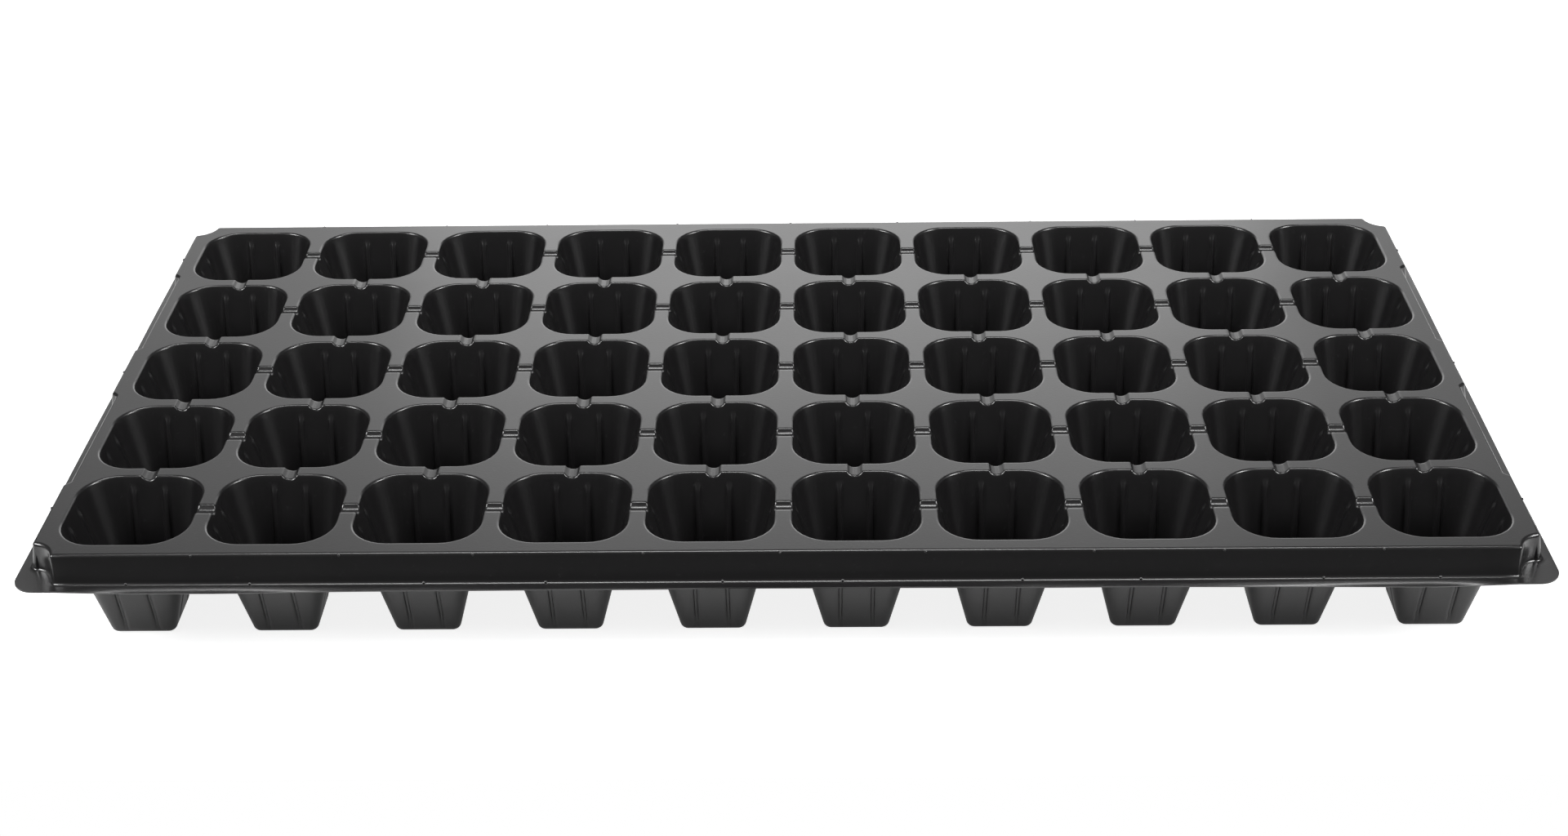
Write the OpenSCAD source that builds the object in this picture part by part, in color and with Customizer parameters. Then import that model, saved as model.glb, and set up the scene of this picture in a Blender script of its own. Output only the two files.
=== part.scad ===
// Seed tray: one sheet of black plastic, vacuum formed into a grid of tapered cells.
// The sheet is drawn as named regions that meet face to face: the floors, walls and corners of each
// row of cells, the webs and crossings of the deck between the mouths, the four skirts, the four
// notched corners and the flange that runs all the way round.
// X runs along the tray, Y across it with the front at -Y, and the cell floors stand on Z = 0.

/* [Cells] */
// Cells along the tray
columns = 10; // [2:1:10]
// Cells across the tray
rows = 5; // [2:1:5]
// Width of a cell's mouth, where its wall lines meet the deck
mouth_w = 46; // [40:0.5:60]
// Width of the deck left between two mouths
web_w = 6; // [5:0.5:16]
// Width across the outside of a cell's floor, before its edge is rounded
floor_w = 23; // [18:0.5:30]
// Corner radius of a cell floor, seen from above
floor_corner_r = 2.5; // [1:0.25:5]
// Height of the tray, from the cell floors to the top of the deck
tray_h = 46; // [36:1:70]
// Radius of the rounded edge round a cell floor
floor_edge_r = 2.5; // [2:0.25:2.75]
// Radius of the rolled rim round a mouth
rim_r = 1.2; // [1:0.1:1.8]
// Thickness of the sheet
sheet_t = 0.6; // [0.4:0.05:0.9]
// Diameter of the drain hole in a cell floor
drain_d = 9; // [4:0.5:14]

/* [Ribs and channels] */
// Distance between the two ribs of one cell wall
rib_gap = 11.6; // [8:0.2:14]
// Width of a rib where it stands on the wall
rib_w = 3; // [2.4:0.1:4]
// Width of a rib's inner face
rib_face_w = 1.4; // [0.8:0.1:2]
// Height of a rib above the wall, inside the cell
rib_proud = 0.7; // [0.4:0.1:1.2]
// Drop from the deck to the top of a rib
rib_drop = 5; // [3:0.5:20]
// Width of the water channel between two neighbouring cells
channel_w = 5.4; // [3:0.2:9]

/* [Border] */
// Width of the deck outside the outermost cells
margin_w = 4; // [2:0.5:12]
// Radius of the rolled edge between deck and skirt
deck_edge_r = 1.5; // [1:0.1:2]
// Height of the skirt, from the flange to the deck
skirt_h = 11; // [8:0.5:20]
// Distance by which the foot of the skirt stands outside the deck's edge
skirt_flare = 2; // [0.5:0.25:5]
// Width of the flange outside the foot of the skirt
flange_w = 4; // [2:0.5:15]
// Radius of the flange's outer corners
flange_corner_r = 8; // [2:0.5:14]
// Radius of the upright round notch in each corner of the skirt
notch_r = 9; // [6:0.5:10]
// Width of the deck that belongs to a corner, round its notch
notch_deck_w = 3; // [2.5:0.5:4]
// Length of each inset in the two short skirts, measured at its outer edge
inset_len = 67; // [30:1:80]
// Depth of those insets
inset_depth = 2.2; // [1:0.1:3]
// Distance between the middles of the two insets of one short skirt
inset_gap = 104; // [90:1:140]

/* [Hidden] */
$fn = 48;
// Number of straight steps that make up one rounded bend of the sheet
bend_steps = 2;
// Length by which a cutting shape reaches past the face that it cuts
over = 1;
pitch = mouth_w + web_w;
grid_x = columns * pitch;
grid_y = rows * pitch;
deck_x = grid_x + 2 * margin_w;
deck_y = grid_y + 2 * margin_w;
foot_x = deck_x + 2 * skirt_flare;
foot_y = deck_y + 2 * skirt_flare;
flange_top = tray_h - skirt_h;

// The corners of a cell turn about the same four upright axes at every height
axis_off = floor_w / 2 - floor_corner_r;
// Lean of a cell wall from the upright: its outside starts at the floor's width, its inside ends at
// the mouth's width
wall_run = (mouth_w - floor_w) / 2;
wall_lean = atan(wall_run / tray_h) + asin(sheet_t / norm([wall_run, tray_h]));
// Horizontal width of the sheet in a cell wall
wall_t = sheet_t / cos(wall_lean);
// Length that a bend of radius one takes off each of the two lines that it joins
wall_bend = tan(45 - wall_lean / 2);
// The rounded edge of the floor ends before it reaches the corner axes
floor_bend_r = min(floor_edge_r, 0.85 * floor_corner_r / wall_bend);
// Middle of the bend between floor and wall, in a section that is measured from a corner axis
floor_bend = [floor_corner_r - floor_bend_r * wall_bend, floor_bend_r];
// Middle of the rolled rim in the same section, which is also where the flat deck starts
rim_bend = [mouth_w / 2 - axis_off + rim_r * wall_bend, tray_h - rim_r];
// Half the width of the square of deck where four cells meet
crossing_half = pitch / 2 - axis_off;
// Width of the flat deck from the edge of a cell's square to its rolled rim
web_reach = crossing_half - rim_bend.x;
// The ribs stay on the flat part of a wall
rib_off = min(rib_gap / 2, axis_off - rib_w / 2 - 0.5);

// Slant of the top of a rib, from the upright
rib_top_slant = 45;
// Lean of the skirt from the upright
skirt_lean = atan(skirt_flare / skirt_h);
// Slant of the ends of the skirt's insets, seen from above
inset_slant = 45;
// Middle of the notch in a corner, half way down the flare of the skirt
notch_x = (deck_x + skirt_flare) / 2;
notch_y = (deck_y + skirt_flare) / 2;

sheet_colour = "#1b1c1e";

function row_name(row, part) = str("row_", chr(97 + row), "_", part);

// Points along an arc, in equal steps
function arc(centre, radius, from, to) = [for (i = [0 : bend_steps])
    let (angle = from + (to - from) * i / bend_steps)
    centre + radius * [cos(angle), sin(angle)]];

// Middle of a cell, seen from above
function cell_middle(col, row) = [(col - (columns - 1) / 2) * pitch, (row - (rows - 1) / 2) * pitch];

// The sheet in section, measured from a corner axis: rounded floor edge, leaning wall and rolled rim
function sheet_section() = concat(
    arc(floor_bend, floor_bend_r, -90, -wall_lean),
    arc(rim_bend, rim_r - sheet_t, 180 - wall_lean, 90),
    arc(rim_bend, rim_r, 90, 180 - wall_lean),
    arc(floor_bend, floor_bend_r - sheet_t, -wall_lean, -90));

// Everything inside the underside of that sheet
function cell_outside() = concat(
    [[0, 0]],
    arc(floor_bend, floor_bend_r, -90, -wall_lean),
    arc(rim_bend, rim_r - sheet_t, 180 - wall_lean, 90),
    [[rim_bend.x, tray_h], [0, tray_h]]);

// A section drawn along the straight part of the wall on the +X side of a cell
module along_wall(section) {
    translate([axis_off, axis_off]) rotate([90, 0, 0]) linear_extrude(2 * axis_off) polygon(section);
}

// The two ribs of that wall, drawn one inset inside the face of a rib. A rib leans with the wall,
// narrows towards the middle of the cell and has a slanted top
module rib_bars(inset) {
    flank = atan((rib_w - rib_face_w) / 2 / rib_proud);
    deep = inset - rib_proud;
    out = sheet_t + over;
    top = -rib_drop / cos(wall_lean) - inset / sin(rib_top_slant);
    low = -tray_h / cos(wall_lean) - over;
    half = function (x) rib_face_w / 2 + (x + rib_proud) * tan(flank) - inset / cos(flank);
    for (hand = [-1, 1])
        translate([mouth_w / 2, hand * rib_off, tray_h]) rotate([0, wall_lean, 0]) intersection() {
            translate([0, 0, low]) linear_extrude(-low)
                polygon([[deep, half(deep)], [deep, -half(deep)], [out, -half(out)], [out, half(out)]]);
            rotate([90, 0, 0]) linear_extrude(2 * rib_w, center = true)
                polygon([[deep, low], [out, low], [out, top + out / tan(rib_top_slant)],
                         [deep, top + deep / tan(rib_top_slant)]]);
        }
}

// One wall of a cell with its ribs, notched by the water channel if there is a neighbour behind it
module cell_wall(has_neighbour) {
    difference() {
        union() {
            along_wall(sheet_section());
            intersection() {
                along_wall(cell_outside());
                rib_bars(0);
            }
        }
        rib_bars(sheet_t);
        if (has_neighbour)
            translate([axis_off, 0, tray_h]) rotate([0, 90, 0]) cylinder(d = channel_w, h = crossing_half);
    }
}

// Flat floors of one row of cells, each with its drain hole
module row_floors(row) {
    color(sheet_colour) for (col = [0 : columns - 1]) translate(cell_middle(col, row)) difference() {
        linear_extrude(sheet_t) {
            square([2 * (axis_off + floor_bend.x), 2 * axis_off], center = true);
            square([2 * axis_off, 2 * (axis_off + floor_bend.x)], center = true);
            for (x = [-axis_off, axis_off], y = [-axis_off, axis_off])
                translate([x, y]) circle(r = floor_bend.x);
        }
        translate([0, 0, -over]) cylinder(d = drain_d, h = sheet_t + 2 * over);
    }
}

// The four walls of every cell in one row
module row_walls(row) {
    color(sheet_colour) for (col = [0 : columns - 1]) {
        neighbours = [col < columns - 1, row < rows - 1, col > 0, row > 0];
        translate(cell_middle(col, row)) for (side = [0 : 3]) rotate(90 * side) cell_wall(neighbours[side]);
    }
}

// The four rounded corners of every cell in one row
module row_corners(row) {
    color(sheet_colour) for (col = [0 : columns - 1], side = [0 : 3]) translate(cell_middle(col, row))
        rotate(90 * side) translate([axis_off, axis_off]) rotate_extrude(angle = 90) polygon(sheet_section());
}

// Strip of deck between the mouths of two cells, or beside the mouth of an outer cell. Between two
// cells it dips into a half-round water channel that opens into both
module web(has_left, has_right) {
    left = has_left ? web_reach : 0;
    right = has_right ? web_reach : 0;
    difference() {
        union() {
            translate([-left, -axis_off, tray_h - sheet_t]) cube([left + right, 2 * axis_off, sheet_t]);
            if (has_left && has_right) difference() {
                translate([0, 0, tray_h]) rotate([0, 90, 0])
                    cylinder(d = channel_w + 2 * sheet_t, h = 2 * crossing_half, center = true);
                translate([-pitch / 2, -axis_off, tray_h]) cube([pitch, 2 * axis_off, pitch]);
                for (turn = [0, 180]) rotate(turn) translate([-pitch / 2, 0, 0]) along_wall(cell_outside());
            }
        }
        if (has_left && has_right) translate([0, 0, tray_h]) rotate([0, 90, 0])
            cylinder(d = channel_w, h = 2 * crossing_half, center = true);
    }
}

// All the webs: the lines across the tray, then the lines along it
module deck_webs() {
    color(sheet_colour) {
        for (line = [0 : columns], row = [0 : rows - 1])
            translate([(line - columns / 2) * pitch, (row - (rows - 1) / 2) * pitch])
                web(line > 0, line < columns);
        for (line = [0 : rows], col = [0 : columns - 1])
            translate([(col - (columns - 1) / 2) * pitch, (line - rows / 2) * pitch])
                rotate(90) web(line > 0, line < rows);
    }
}

// The pieces of deck where the corners of four cells meet, halved along the edges of the grid
module deck_crossings() {
    color(sheet_colour) for (line_x = [0 : columns], line_y = [0 : rows]) {
        low = [line_x > 0 ? -crossing_half : 0, line_y > 0 ? -crossing_half : 0];
        high = [line_x < columns ? crossing_half : 0, line_y < rows ? crossing_half : 0];
        at_corner = (line_x == 0 || line_x == columns) && (line_y == 0 || line_y == rows);
        difference() {
            translate([(line_x - columns / 2) * pitch, (line_y - rows / 2) * pitch]) difference() {
                translate([low.x, low.y, tray_h - sheet_t])
                    cube([high.x - low.x, high.y - low.y, sheet_t]);
                for (x = [-crossing_half, crossing_half], y = [-crossing_half, crossing_half])
                    translate([x, y, 0]) cylinder(r = rim_bend.x, h = tray_h + over);
            }
            if (at_corner) notch_columns(notch_r + notch_deck_w);
        }
    }
}

// Upright round columns at the four corners of the tray
module notch_columns(radius) {
    for (x = [-notch_x, notch_x], y = [-notch_y, notch_y])
        translate([x, y, -over]) cylinder(r = radius, h = tray_h + 2 * over);
}

// Section across the tray's border, from one foot of the skirt over the deck to the other
function border_section(deck_w, inset, low) =
    let (bend = deck_edge_r * tan(45 - skirt_lean / 2),
         foot = deck_w / 2 + (tray_h - low) * tan(skirt_lean) - inset / cos(skirt_lean),
         edge = arc([deck_w / 2 - bend, tray_h - deck_edge_r], deck_edge_r - inset, skirt_lean, 90),
         half = concat([[foot, low]], edge))
    concat(half, [for (i = [len(half) - 1 : -1 : 0]) [-half[i].x, half[i].y]]);

// Upright block over one inset of a short skirt, with slanted ends
module inset_block(inset) {
    out = skirt_flare + over;
    deep = inset_depth + sheet_t + over;
    half = inset_len / 2 + inset / sin(inset_slant);
    spread = 1 / tan(inset_slant);
    translate([deck_x / 2, 0, 0]) linear_extrude(tray_h + over) polygon([
        [out, half + out * spread], [-deep, half - deep * spread],
        [-deep, -half + deep * spread], [out, -half - out * spread]]);
}

// Round notch of one corner, opening out over the rolled edge of the deck
module notch_plug(inset, low) {
    rotate_extrude() polygon(concat(
        [[0, low], [notch_r + inset, low]],
        arc([notch_r + deck_edge_r, tray_h - deck_edge_r], deck_edge_r - inset, 180, 90),
        [[notch_r + deck_edge_r, tray_h + over], [0, tray_h + over]]));
}

// Block under the deck and inside the skirt, one inset inside the outer faces of the sheet
module border_block(inset, low) {
    difference() {
        intersection() {
            rotate([90, 0, 90]) linear_extrude(foot_x + 2 * over, center = true)
                polygon(border_section(deck_y, inset, low));
            union() {
                rotate([90, 0, 0]) linear_extrude(foot_y + 2 * over, center = true)
                    polygon(border_section(deck_x - 2 * inset_depth, inset, low));
                difference() {
                    rotate([90, 0, 0]) linear_extrude(foot_y + 2 * over, center = true)
                        polygon(border_section(deck_x, inset, low));
                    for (turn = [0, 180], y = [-inset_gap / 2, inset_gap / 2])
                        rotate(turn) translate([0, y, 0]) inset_block(inset);
                }
            }
        }
        for (x = [-notch_x, notch_x], y = [-notch_y, notch_y])
            translate([x, y, 0]) notch_plug(inset, low - over);
    }
}

// The sheet of the border: the deck's margin and the skirt, down to the top of the flange
module border_sheet() {
    difference() {
        border_block(0, flange_top);
        border_block(sheet_t, flange_top - over);
    }
}

// One of the two long skirts, with its strip of deck
module long_skirt(hand) {
    depth = margin_w + skirt_flare + over;
    color(sheet_colour) intersection() {
        border_sheet();
        difference() {
            translate([-foot_x / 2, hand * (grid_y + depth) / 2 - depth / 2, 0]) cube([foot_x, depth, tray_h]);
            notch_columns(notch_r + notch_deck_w);
        }
    }
}

// One of the two short skirts, with its strip of deck and its two insets
module short_skirt(hand) {
    depth = margin_w + skirt_flare + over;
    color(sheet_colour) intersection() {
        border_sheet();
        difference() {
            translate([hand * (grid_x + depth) / 2 - depth / 2, -foot_y / 2, 0]) cube([depth, foot_y, tray_h]);
            notch_columns(notch_r + notch_deck_w);
        }
    }
}

// One corner of the border, with its round notch
module corner(hand_x, hand_y) {
    color(sheet_colour) intersection() {
        border_sheet();
        translate([hand_x * notch_x, hand_y * notch_y, 0]) cylinder(r = notch_r + notch_deck_w, h = tray_h);
    }
}

// Flat flange under the foot of the skirt, all the way round, with rounded outer corners
module rim_flange() {
    out_x = foot_x + 2 * flange_w;
    out_y = foot_y + 2 * flange_w;
    color(sheet_colour) difference() {
        translate([0, 0, flange_top - sheet_t]) linear_extrude(sheet_t) {
            square([out_x - 2 * flange_corner_r, out_y], center = true);
            square([out_x, out_y - 2 * flange_corner_r], center = true);
            for (x = [-1, 1], y = [-1, 1])
                translate([x * (out_x / 2 - flange_corner_r), y * (out_y / 2 - flange_corner_r)])
                    circle(r = flange_corner_r);
        }
        border_block(sheet_t, flange_top - sheet_t - over);
    }
}

for (row = [0 : rows - 1]) {
    row_floors(row);
    row_walls(row);
    row_corners(row);
}
deck_webs();
deck_crossings();
long_skirt(-1);  // front_skirt
long_skirt(1);  // back_skirt
short_skirt(-1);  // left_skirt
short_skirt(1);  // right_skirt
corner(-1, -1);  // front_left_corner
corner(1, -1);  // front_right_corner
corner(-1, 1);  // back_left_corner
corner(1, 1);  // back_right_corner
rim_flange();
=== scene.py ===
import math

import bpy
import numpy as np
from mathutils import Matrix, Vector


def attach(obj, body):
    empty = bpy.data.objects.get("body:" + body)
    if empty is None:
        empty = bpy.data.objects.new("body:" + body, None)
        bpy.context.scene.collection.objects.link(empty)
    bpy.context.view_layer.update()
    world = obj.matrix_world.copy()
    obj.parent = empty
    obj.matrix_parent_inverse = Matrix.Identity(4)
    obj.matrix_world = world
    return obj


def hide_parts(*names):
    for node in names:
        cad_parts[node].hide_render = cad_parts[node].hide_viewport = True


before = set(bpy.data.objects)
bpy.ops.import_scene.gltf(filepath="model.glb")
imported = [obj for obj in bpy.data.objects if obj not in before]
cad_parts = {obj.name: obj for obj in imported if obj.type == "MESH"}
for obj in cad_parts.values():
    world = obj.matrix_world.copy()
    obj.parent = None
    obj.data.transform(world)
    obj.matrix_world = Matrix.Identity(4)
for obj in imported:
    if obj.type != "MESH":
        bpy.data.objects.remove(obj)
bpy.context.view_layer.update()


# Sheet material
# Black polystyrene with the skin that a mould leaves: satin under a thin gloss, a little uneven over a few
# centimetres, with a fine grain and a few pale scuffs. The whole tray is this one sheet.

black, scuffed = "#191819", "#3a393b"
patch_size, scuff_size, grain_size, grain_depth = 0.035, 0.0022, 0.0009, 0.0002


def linear(hex_colour):
    """Linear RGBA of an sRGB hex colour: each share is put through the sRGB curve."""
    c = np.array([int(hex_colour[i:i + 2], 16) for i in (1, 3, 5)]) / 255
    c = np.where(c <= 0.04045, c / 12.92, ((c + 0.055) / 1.055) ** 2.4)
    return (*c.tolist(), 1.0)


def add_node(owner, kind, links=(), **values):
    """Adds one shader node, sets its named inputs and joins (output, input name) pairs to it."""
    node = owner.node_tree.nodes.new(kind)
    for name, value in values.items():
        node.inputs[name.replace("_", " ")].default_value = value
    for output, name in links:
        owner.node_tree.links.new(output, node.inputs[name])
    return node


polystyrene = bpy.data.materials.new("black_polystyrene_sheet")
polystyrene.use_nodes = True
sheet_links = polystyrene.node_tree.links
shader = polystyrene.node_tree.nodes["Principled BSDF"]
shader.inputs["IOR"].default_value = 1.59
shader.inputs["Coat Weight"].default_value = 0.8
shader.inputs["Coat Roughness"].default_value = 0.2
on_sheet = add_node(polystyrene, "ShaderNodeTexCoord").outputs["Object"]

patches = add_node(polystyrene, "ShaderNodeTexNoise", [(on_sheet, "Vector")], Scale=1 / patch_size, Detail=3.0)
gloss = add_node(polystyrene, "ShaderNodeMapRange", [(patches.outputs["Fac"], "Value")],
                 To_Min=0.26, To_Max=0.36)
sheet_links.new(gloss.outputs["Result"], shader.inputs["Roughness"])

scuffs = add_node(polystyrene, "ShaderNodeTexNoise", [(on_sheet, "Vector")], Scale=1 / scuff_size, Detail=4.0,
                  Roughness=0.75)
scuff_share = add_node(polystyrene, "ShaderNodeMapRange", [(scuffs.outputs["Fac"], "Value")],
                       From_Min=0.62, From_Max=0.85)
colour = add_node(polystyrene, "ShaderNodeMix")
colour.data_type = "RGBA"
colour.inputs["A"].default_value = linear(black)
colour.inputs["B"].default_value = linear(scuffed)
sheet_links.new(scuff_share.outputs["Result"], colour.inputs["Factor"])
sheet_links.new(colour.outputs["Result"], shader.inputs["Base Color"])

grain = add_node(polystyrene, "ShaderNodeTexNoise", [(on_sheet, "Vector")], Scale=1 / grain_size, Detail=2.0)
bump = add_node(polystyrene, "ShaderNodeBump", [(grain.outputs["Fac"], "Height")], Strength=0.12,
                Distance=grain_depth)
sheet_links.new(bump.outputs["Normal"], shader.inputs["Normal"])


# Cells
# Each row of cups is one formed sheet: drained floor, rounded floor edge, leaning walls with two ribs
# each, rounded corners and a rolled rim. A rim dips where a water channel runs to the next cell.
# Sizes are in millimetres.

cols, rows, pitch, deck_z, sheet_t = 10, 5, 52.0, 46.0, 0.6
mouth_half, wall_run, axis_off, rim_r = 23, 11.5, 9.0, 1.0
floor_bend_out, floor_bend_in, drain_r = 2.5, 1.9, 4.5
lean = math.atan(wall_run / deck_z) + math.asin(sheet_t / math.hypot(wall_run, deck_z))
tangent = math.tan(math.pi / 4 - lean / 2)
rib_at, rib_half, rib_flank, rib_h, rib_below, rib_fade, rib_start = 5.8, 1.25, 0.6, 0.75, 3.2, 3.6, 0.1
channel_w, channel_d, channel_roll = 5.4, 1.7, 0.7
channel_r = channel_w ** 2 / 8 / channel_d + channel_d / 2
channel_end = math.sqrt((channel_r + channel_roll) ** 2 - (channel_r - channel_d + channel_roll) ** 2)
# Where the points of a cell lie: across half a wall, round a corner, up a wall and out over the deck
wall_half = np.array([0, 0.8, 1.5, 2.1, 2.52, 2.8, 3.11, 3.8, 4.55, 4.78, 4.98, 5.15, 5.8, 6.45, 6.62, 6.82,
                      7.05, 8.0])
corner_turn = np.radians([0, 11, 22, 33.1, 45, 56.9, 68, 79, 90])
wall_stops = (0.05, 0.12, 0.3, 0.5, 0.7, 0.82, 0.858, 0.878, 0.896, 0.914, 0.932, 0.95, 1.0)
deck_stops = (0, 0.5, 1.0)
# The notch in each corner of the tray, and the round strip of deck that the border keeps beside it
notch_axis, notch_r, strip_r = np.array([265.0, 135.0]), 9.0, 12.0


def sheet_mesh(name, grids, thickness, rim):
    """One smooth object from grids of points in millimetres, each (rows, columns, 3).

    The sheet gets its thickness below the points, and rim closes its cut edges."""
    points, faces, start = [], [], 0
    for grid, closed in grids:
        n_rows, n_cols = grid.shape[:2]
        i = np.arange(n_rows - 1)[:, None] * n_cols
        j = np.arange(n_cols if closed else n_cols - 1)[None]
        k = (j + 1) % n_cols
        quad = np.stack(np.broadcast_arrays(i + j, i + k, i + n_cols + k, i + n_cols + j), -1)
        faces.append(quad.reshape(-1, 4) + start)
        points.append(grid.reshape(-1, 3) / 1000)
        start += n_rows * n_cols
    mesh = bpy.data.meshes.new(name)
    mesh.from_pydata(np.concatenate(points).tolist(), [], np.concatenate(faces).tolist())
    mesh.polygons.foreach_set("use_smooth", np.ones(len(mesh.polygons), bool))
    mesh.materials.append(polystyrene)
    piece = bpy.data.objects.new(name, mesh)
    bpy.context.scene.collection.objects.link(piece)
    if thickness:
        thick = piece.modifiers.new("thickness", "SOLIDIFY")
        thick.thickness, thick.offset, thick.use_rim = thickness / 1000, -1, rim
        cut_edges = piece.modifiers.new("cut_edges", "EDGE_SPLIT")
        cut_edges.split_angle = math.radians(50)
    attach(piece, "root")
    return piece


def eased(height, share):
    """A height times a smooth step: nothing at share 0, all of it at share 1, and level at both ends."""
    return height * share * share * (3 - 2 * share)


def channel_depth(y):
    """Depth of a channel at a distance y from its line: a round arc between two rolled shoulders."""
    y = np.abs(y)
    groove = np.sqrt(np.maximum(channel_r ** 2 - y ** 2, 0)) - channel_r + channel_d
    shoulder = channel_roll - np.sqrt(np.maximum(channel_roll ** 2 - (channel_end - y) ** 2, 0))
    meet = channel_end * channel_r / (channel_r + channel_roll)
    return np.where(y < meet, groove, np.where(y < channel_end, shoulder, 0))


def cell_columns(col, row):
    """Columns round a cell: four walls and four corners, starting on the square of the corner axes.

    Gives their starts, their directions outwards, their distances from a wall's middle and the rim's dips."""
    flat = np.concatenate([-wall_half[:0:-1], wall_half])
    off_wall = 99.0
    base, aim, along, dip = [], [], [], []
    joined = (col < cols - 1, row < rows - 1, col > 0, row > 0)
    for (c, s), has_channel in zip(((1, 0), (0, 1), (-1, 0), (0, -1)), joined):
        out, left = np.array([c, s]), np.array([-s, c])
        base.append(out * axis_off + flat[:, None] * left)
        aim.append(np.broadcast_to(out, (len(flat), 2)))
        along.append(flat)
        dip.append(channel_depth(flat) * has_channel)
        base.append(np.broadcast_to((out + left) * axis_off, (len(corner_turn), 2)))
        aim.append(np.cos(corner_turn)[:, None] * out + np.sin(corner_turn)[:, None] * left)
        along.append(np.full(len(corner_turn), off_wall))
        dip.append(np.zeros(len(corner_turn)))
    return [np.concatenate(part) for part in (base, aim, along, dip)]


def deck_reach(col, row, middle, base, aim):
    """How far the deck of a cell runs along each column.

    It ends at the cell's square, and in the tray's corners at the round strip beside the notch."""
    reach = (pitch / 2 - axis_off) / np.abs(aim).max(1)
    if col in (0, cols - 1) and row in (0, rows - 1):
        gap = middle + base - np.sign(middle) * notch_axis
        b = (gap * aim).sum(1)
        disc = b ** 2 - (gap ** 2).sum(1) + strip_r ** 2
        hit = -b - np.sqrt(np.maximum(disc, 0))
        reach = np.where((disc > 0) & (hit > 0), np.minimum(reach, hit), reach)
    return reach


def cell_grid(col, row):
    """Points of one cell from its drain hole to the edge of its square of deck, rows by columns.

    Along each column run the floor, a round bend, the wall, the rolled rim and the deck. Ribs push the wall
    inwards, and channels lower the rim."""
    middle = np.array([(col - (cols - 1) / 2) * pitch, (row - (rows - 1) / 2) * pitch])
    base, aim, along, dip = cell_columns(col, row)
    top = deck_z - dip
    bend_x, bend_z = floor_bend_out - floor_bend_out * tangent, floor_bend_out
    rim_x = mouth_half - axis_off - (deck_z - top) * math.tan(lean) + rim_r * tangent

    edge = base + aim * bend_x
    hole = edge / np.linalg.norm(edge, axis=1)[:, None] * drain_r
    lines = [np.c_[hole + (edge - hole) * f, np.full(len(base), sheet_t)] for f in (0, 0.12, 1)]
    for a in np.linspace(-math.pi / 2, -lean, 6)[1:]:
        r, z = bend_x + floor_bend_in * math.cos(a), bend_z + floor_bend_in * math.sin(a)
        lines.append(np.c_[base + aim * r, np.full(len(base), z)])

    foot_r, foot_z = bend_x + floor_bend_in * math.cos(lean), bend_z - floor_bend_in * math.sin(lean)
    head_r, head_z = rim_x - rim_r * math.cos(lean), top - rim_r + rim_r * math.sin(lean)
    flank = np.clip((rib_half - np.abs(np.abs(along) - rib_at)) / rib_flank, 0, 1)
    for f in wall_stops:
        r, z = foot_r + (head_r - foot_r) * f, foot_z + (head_z - foot_z) * f
        fade = np.clip((deck_z - rib_below - z) / rib_fade, 0, 1)
        rib = eased(eased(rib_h, flank), fade) * min(1, f / rib_start)
        lines.append(np.c_[base + aim * (r - rib * math.cos(lean))[:, None], z + rib * math.sin(lean)])

    for a in np.linspace(math.pi - lean, math.pi / 2, 6)[1:]:
        r, z = rim_x + rim_r * math.cos(a), top - rim_r + rim_r * math.sin(a)
        lines.append(np.c_[base + aim * r[:, None], z])
    flat_x = rim_x + 0.2
    reach = deck_reach(col, row, middle, base, aim)
    for f in deck_stops:
        lines.append(np.c_[base + aim * (flat_x + (reach - flat_x) * f)[:, None], top])
    return np.stack(lines)[:, ::-1] + np.r_[middle, 0]


decks = []
for row, letter in enumerate("abcde"):
    cups = []
    for col in range(cols):
        grid = cell_grid(col, row)
        cups.append((grid[:1 - len(deck_stops)], True))
        decks.append((grid[-len(deck_stops):], True))
    piece = sheet_mesh("row_%s_cells" % letter, cups, sheet_t, True)
    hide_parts("row_%s_floors" % letter, "row_%s_walls" % letter, "row_%s_corners" % letter)


# Deck
# The flat top of the sheet between the mouths, with the half-round water channels across its webs.

piece = sheet_mesh("deck", decks, sheet_t, False)
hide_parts("deck_webs", "deck_crossings")


# Border
# The edge of the same sheet, all the way round: outer strip of deck, rolled edge, flared skirt with two
# insets on each short side and a round notch in each corner, and the narrow flange.

(grid_x, grid_y), (deck_x, deck_y), (flange_x, flange_y) = (260.0, 130.0), (264.0, 134.0), (270.0, 140.0)
flange_z, flange_r, skirt_flare = 35.0, 8.0, 2.0
edge_roll, foot_fillet, notch_fillet = 1.3, 1.2, 1.5
inset_y, inset_half, inset_slope, inset_d = 52.0, 34.7, 2.8, 2.2
flange_stops = (0.3, 0.55, 0.75, 0.9, 1.0)
droop_h, wave_h = 1.1, 0.12


def circle(centre, radius, angles):
    """Points on a circle, one for each angle."""
    return centre + radius * np.c_[np.cos(angles), np.sin(angles)]


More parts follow.
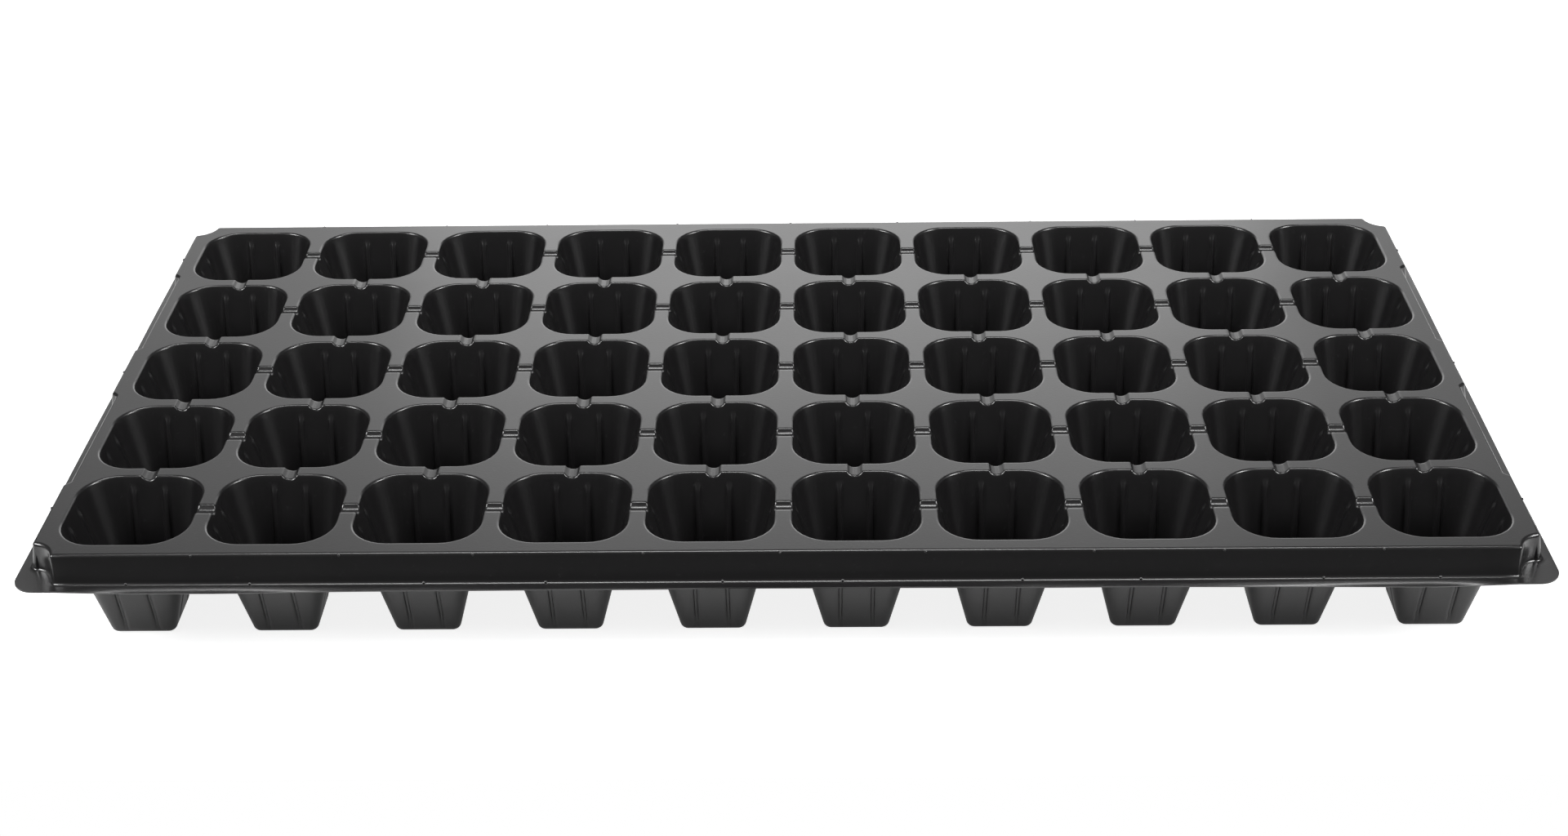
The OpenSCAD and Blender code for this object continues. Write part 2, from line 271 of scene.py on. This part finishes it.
def border_quarter():
    """Columns of the border from the middle of the back to the middle of the right side.

    Gives the inner edge, the deck's edge, the direction out of it, the skirt's flare and the flange's edge."""
    notch_x, notch_y = notch_axis
    fillet_y = deck_y - notch_fillet
    fillet_x = notch_x - math.sqrt((notch_r + notch_fillet) ** 2 - (fillet_y - notch_y) ** 2)
    back_fillet = np.array([fillet_x, fillet_y])
    side_fillet = np.array([deck_x - notch_fillet, notch_y - (notch_x - fillet_x)])
    tilt = math.atan2(notch_y - fillet_y, notch_x - fillet_x)
    back_turn = np.linspace(math.pi / 2, tilt, 8)[1:]
    notch_turn = np.linspace(math.pi + tilt, 1.5 * math.pi - tilt, 17)[1:-1]
    side_turn = np.linspace(math.pi / 2 - tilt, 0, 8)[:-1]
    turns = len(back_turn) + len(notch_turn) + len(side_turn)

    # Along the back and, with narrow columns at both ends of the inset, along the right side
    x = np.linspace(0, fillet_x, 48)
    stops = (side_fillet[1], inset_y + 35.5, inset_y + 31, inset_y - 31, inset_y - 35.5, 0)
    spans = zip(stops, stops[1:], (8, 10, 14, 10, 6))
    y = np.concatenate([np.linspace(a, b, n)[:-1] for a, b, n in spans] + [[0.0]])
    inset = eased(inset_d, np.clip((inset_half - np.abs(y - inset_y)) / inset_slope, 0, 1))
    slope = np.gradient(inset, y)
    edge = np.concatenate([
        np.c_[x, np.full(len(x), deck_y)],
        circle(back_fillet, notch_fillet, back_turn),
        circle(notch_axis, notch_r, notch_turn),
        circle(side_fillet, notch_fillet, side_turn),
        np.c_[deck_x - inset, y]])
    out = np.concatenate([
        np.tile([0.0, 1.0], (len(x), 1)),
        circle(0, 1, back_turn),
        -circle(0, 1, notch_turn),
        circle(0, 1, side_turn),
        np.c_[np.ones(len(y)), slope] / np.hypot(1, slope)[:, None]])
    fade = np.clip(np.arange(1, turns + 1) / 6, 0, 1) * np.clip(np.arange(turns, 0, -1) / 6, 0, 1)
    flare = np.concatenate([
        np.full(len(x), skirt_flare), skirt_flare * (1 - fade), np.full(len(y), skirt_flare)])

    # The inner edge follows the squares of the cells and the round end of the deck beside the notch
    strip_side = math.sqrt(strip_r ** 2 - (notch_x - grid_x) ** 2)
    rays = corner_turn[3:6]
    aim = np.c_[np.cos(rays), np.sin(rays)]
    last_axis = np.array([(cols - 1) / 2, (rows - 1) / 2]) * pitch + axis_off
    gap = last_axis - notch_axis
    hit = -(aim @ gap) - np.sqrt((aim @ gap) ** 2 - gap @ gap + strip_r ** 2)
    round_end = (last_axis + aim * hit[:, None])[::-1]
    steps = np.linspace(0, len(round_end) - 1, turns)
    k = np.minimum(steps.astype(int), len(round_end) - 2)
    inner_turn = round_end[k] + (round_end[k + 1] - round_end[k]) * (steps - k)[:, None]
    inner = np.concatenate([
        np.c_[np.minimum(x, notch_x - strip_side), np.full(len(x), grid_y)],
        inner_turn,
        np.c_[np.full(len(y), grid_x), np.minimum(y, notch_y - strip_side)]])

    # The flange's edge: straight, a round corner, straight
    corner = np.linspace(0, math.pi / 2, 16)
    path = np.concatenate([
        [[fillet_x, flange_y]],
        np.array([flange_x - flange_r, flange_y - flange_r]) + flange_r * np.c_[np.sin(corner), np.cos(corner)],
        [[flange_x, side_fillet[1]]]])
    run = np.r_[0, np.cumsum(np.linalg.norm(np.diff(path, axis=0), axis=1))]
    at = np.linspace(0, run[-1], turns + 2)[1:-1]
    outer = np.concatenate([
        np.c_[x, np.full(len(x), flange_y)],
        np.c_[np.interp(at, run, path[:, 0]), np.interp(at, run, path[:, 1])],
        np.c_[np.full(len(y), flange_x), y]])
    return inner, edge, out, flare, outer


def border_grid():
    """Points of the border, rows across the section by columns round the tray: four mirrored quarters."""
    inner, edge, out, flare, outer = border_quarter()
    tilt = np.arctan2(flare, deck_z - flange_z)
    start = edge_roll * np.tan(math.pi / 4 - tilt / 2)
    flat = edge - out * start[:, None]
    lines = [np.c_[inner + (flat - inner) * f, np.full(len(edge), deck_z)] for f in (0, 0.5, 0.9)]
    for f in np.linspace(0, 1, 7):
        a = math.pi / 2 + (tilt - math.pi / 2) * f
        q, z = edge_roll * np.cos(a), deck_z - edge_roll + edge_roll * np.sin(a)
        lines.append(np.c_[flat + out * q[:, None], z])

    head_q, head_z = edge_roll * np.cos(tilt) - start, deck_z - edge_roll + edge_roll * np.sin(tilt)
    foot_z = flange_z + foot_fillet * (1 - np.sin(tilt))
    foot_q = flare * (deck_z - foot_z) / (deck_z - flange_z)
    for f in (0.35, 0.7):
        q, z = head_q + (foot_q - head_q) * f, head_z + (foot_z - head_z) * f
        lines.append(np.c_[edge + out * q[:, None], z])
    bend_q, bend_z = foot_q + foot_fillet * np.cos(tilt), flange_z + foot_fillet
    for f in np.linspace(0, 1, 6):
        a = math.pi + tilt + (math.pi / 2 - tilt) * f
        q, z = bend_q + foot_fillet * np.cos(a), bend_z + foot_fillet * np.sin(a)
        lines.append(np.c_[edge + out * q[:, None], z])
    last = lines[-1][:, :2]
    for f in flange_stops:
        lines.append(np.c_[last + (outer - last) * f, np.full(len(edge), flange_z)])

    quarter = np.stack(lines)
    back = quarter[:, ::-1]
    loop = np.concatenate([quarter, (back * (1, -1, 1))[:, 1:], (quarter * (-1, -1, 1))[:, 1:],
                           (back * (-1, 1, 1))[:, 1:-1]], 1)
    # The thin flange isn't quite straight: it waves, and droops near the two ends of a long side
    out_share = np.r_[np.zeros(len(lines) - len(flange_stops)), flange_stops][:, None]
    x, y = loop[..., 0], loop[..., 1]
    wave = np.sin(x / 23 + y / 17) + 0.6 * np.sin(x / 11 - y / 29 + 1.3)
    droop = droop_h * np.clip(np.abs(x) / 200, 0, 1) ** 2 * np.clip((255 - np.abs(x)) / 25, 0, 1)
    loop[..., 2] -= out_share ** 2 * (droop + wave_h * wave)
    return loop


piece = sheet_mesh("border", [(border_grid(), True)], sheet_t, True)
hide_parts("front_skirt", "back_skirt", "left_skirt", "right_skirt", "front_left_corner",
            "front_right_corner", "back_left_corner", "back_right_corner", "rim_flange")


# Vent pips
# Tiny domes of the same sheet that the vent holes of the mould leave along the skirt's two edges: at its
# foot on the long sides, and at the deck's edge all the way round.

pip_r, pip_h = 0.55, 0.45
foot_y, foot_z = 136.35, 35.35
top_x, top_y, top_z = 263.95, 133.95, 45.43


def pip(centre, out):
    """Points of a dome on the point centre, standing along out: circles that shrink towards the top."""
    out = np.array(out, float) / np.linalg.norm(out)
    side = np.array([-out[1], out[0], 0]) / np.hypot(out[0], out[1])
    up = np.cross(out, side)
    lift = np.linspace(0, math.pi / 2 - 0.05, 5)[:, None, None]
    turn = np.linspace(0, 2 * math.pi, 10, endpoint=False)[None, :, None]
    return (np.array(centre) + pip_r * np.cos(lift) * (np.cos(turn) * side + np.sin(turn) * up)
            + pip_h * np.sin(lift) * out)


pips = []
for hand in (-1, 1):
    for k in range(10):
        x = hand * ((k - 4.5) * pitch + 7 * math.sin(3.1 * k + 1))
        pips.append((pip((x, hand * foot_y, foot_z), (0, hand, 1.0)), True))
    for k in range(9):
        x = hand * ((k - 4) * pitch + 4 * math.sin(2.3 * k))
        pips.append((pip((x, hand * top_y, top_z), (0, hand, 0.7)), True))
    for k in range(3):
        pips.append((pip((hand * top_x, (k - 1) * 1.96 * pitch, top_z), (hand, 0, 0.7)), True))
sheet_mesh("vent_pips", pips, 0, False)


# Floor, light and camera
# White paper under the tray, which ends a little before its front, and a white paper backdrop that the deck
# mirrors. Two side softboxes, one high over the tray and a weak one at the back, and the photograph's camera.
# Sizes are in metres.

floor_front, floor_z = -0.2, -0.0003
floor_lift_seen, floor_lift_mirrored = 0.85, 0.15
backdrop_y, backdrop_half, backdrop_top = 2.6, 1.8, 1.9
room_strength = 0.08
lamp_aim = Vector((0.0, 0.0, 0.05))
photo_w, photo_focal = 1920, 2843.8
camera_place, camera_down, camera_yaw, camera_roll = (0.01285, -0.80912, 0.48763), 0.52189, -0.01723, -0.01541


def add_math(owner, operation, *values):
    """Adds one Math node on outputs or plain numbers, and gives its result."""
    node = add_node(owner, "ShaderNodeMath")
    node.operation = operation
    for socket, value in zip(node.inputs, values):
        if isinstance(value, bpy.types.NodeSocket):
            owner.node_tree.links.new(value, socket)
        else:
            socket.default_value = value
    return node.outputs["Value"]


def paper_plane(name, corners, material):
    """One flat sheet of paper on four corners, in metres."""
    mesh = bpy.data.meshes.new(name)
    mesh.from_pydata(corners, [], [(0, 1, 2, 3)])
    mesh.materials.append(material)
    plane = bpy.data.objects.new(name, mesh)
    bpy.context.scene.collection.objects.link(plane)
    return plane


floor_paper = bpy.data.materials.new("white_paper_floor")
floor_paper.use_nodes = True
floor_shader = floor_paper.node_tree.nodes["Principled BSDF"]
floor_shader.inputs["Base Color"].default_value = linear("#e0e0e0")
floor_shader.inputs["Roughness"].default_value = 0.9
floor_shader.inputs["Specular IOR Level"].default_value = 0.0
floor_shader.inputs["Emission Color"].default_value = (1, 1, 1, 1)
ray = add_node(floor_paper, "ShaderNodeLightPath").outputs
mirrored = add_math(floor_paper, "MAXIMUM", ray["Is Glossy Ray"], ray["Is Transmission Ray"])
floor_lift = add_math(floor_paper, "MAXIMUM",
                      add_math(floor_paper, "MULTIPLY", ray["Is Camera Ray"], floor_lift_seen),
                      add_math(floor_paper, "MULTIPLY", mirrored, floor_lift_mirrored))
floor_paper.node_tree.links.new(floor_lift, floor_shader.inputs["Emission Strength"])
floor = paper_plane("floor", [(-3, floor_front, floor_z), (3, floor_front, floor_z), (3, 3, floor_z),
                              (-3, 3, floor_z)], floor_paper)

# The backdrop is seen and mirrored as white, dims towards its sides and gives no other light
backdrop_paper = bpy.data.materials.new("white_paper_backdrop")
backdrop_paper.use_nodes = True
ray = add_node(backdrop_paper, "ShaderNodeLightPath").outputs
seen = ray["Is Camera Ray"]
for kind in ("Is Glossy Ray", "Is Transmission Ray"):
    seen = add_math(backdrop_paper, "MAXIMUM", seen, ray[kind])
on_backdrop = add_node(backdrop_paper, "ShaderNodeTexCoord").outputs["Object"]
sideways = add_node(backdrop_paper, "ShaderNodeSeparateXYZ", [(on_backdrop, "Vector")]).outputs["X"]
from_middle = add_math(backdrop_paper, "ABSOLUTE", sideways)
dim = add_node(backdrop_paper, "ShaderNodeMapRange", [(from_middle, "Value")],
               From_Min=0.45, From_Max=1.5, To_Min=1.0, To_Max=0.62).outputs["Result"]
shown = add_math(backdrop_paper, "MULTIPLY", seen, dim)
glow = add_node(backdrop_paper, "ShaderNodeEmission", [(shown, "Strength")], Color=(1, 1, 1, 1))
backdrop_paper.node_tree.links.new(glow.outputs["Emission"],
                                   backdrop_paper.node_tree.nodes["Material Output"].inputs["Surface"])
backdrop = paper_plane("backdrop", [(-backdrop_half, backdrop_y, 0), (backdrop_half, backdrop_y, 0),
                                    (backdrop_half, backdrop_y, backdrop_top),
                                    (-backdrop_half, backdrop_y, backdrop_top)], backdrop_paper)

# The room is dim, and white where the camera looks past the paper
world = bpy.data.worlds.new("studio")
bpy.context.scene.world = world
world.use_nodes = True
room = world.node_tree.nodes["Background"]
room.inputs["Color"].default_value = (1, 1, 1, 1)
room.inputs["Strength"].default_value = room_strength
bright = add_node(world, "ShaderNodeBackground", Color=(1, 1, 1, 1), Strength=1.0)
camera_ray = add_node(world, "ShaderNodeLightPath").outputs["Is Camera Ray"]
mix = add_node(world, "ShaderNodeMixShader", [(camera_ray, "Fac")])
world.node_tree.links.new(room.outputs["Background"], mix.inputs[1])
world.node_tree.links.new(bright.outputs["Background"], mix.inputs[2])
world.node_tree.links.new(mix.outputs["Shader"], world.node_tree.nodes["World Output"].inputs["Surface"])

for name, place, size, power in (
        ("back_softbox", (0.04, 2.4, 0.95), (1.3, 0.8), 2.5),
        ("left_softbox", (-2.3, -1.0, 2.0), (1.04, 1.04), 53),
        ("right_softbox", (2.35, -1.0, 2.0), (1.04, 1.04), 53),
        ("top_softbox", (0.0, 0.2, 4.0), (2.3, 0.75), 58)):
    light = bpy.data.lights.new(name, "AREA")
    light.shape, light.size, light.size_y, light.energy = "RECTANGLE", size[0], size[1], power
    lamp = bpy.data.objects.new(name, light)
    bpy.context.scene.collection.objects.link(lamp)
    lamp.location = place
    lamp.rotation_euler = (lamp_aim - Vector(place)).to_track_quat("-Z", "Y").to_euler()

ahead = Vector((math.sin(camera_yaw) * math.cos(camera_down), math.cos(camera_yaw) * math.cos(camera_down),
                -math.sin(camera_down)))
right = Vector((math.cos(camera_yaw), -math.sin(camera_yaw), 0))
up = right.cross(ahead)
across = math.cos(camera_roll) * right + math.sin(camera_roll) * up
upright = -math.sin(camera_roll) * right + math.cos(camera_roll) * up
lens = bpy.data.cameras.new("camera")
lens.sensor_width, lens.lens = 36.0, 36.0 * photo_focal / photo_w
camera = bpy.data.objects.new("camera", lens)
bpy.context.scene.collection.objects.link(camera)
camera.matrix_world = Matrix.Translation(camera_place) @ Matrix((across, upright, -ahead)).transposed().to_4x4()
bpy.context.scene.camera = camera
bpy.context.scene.view_settings.view_transform = "Standard"
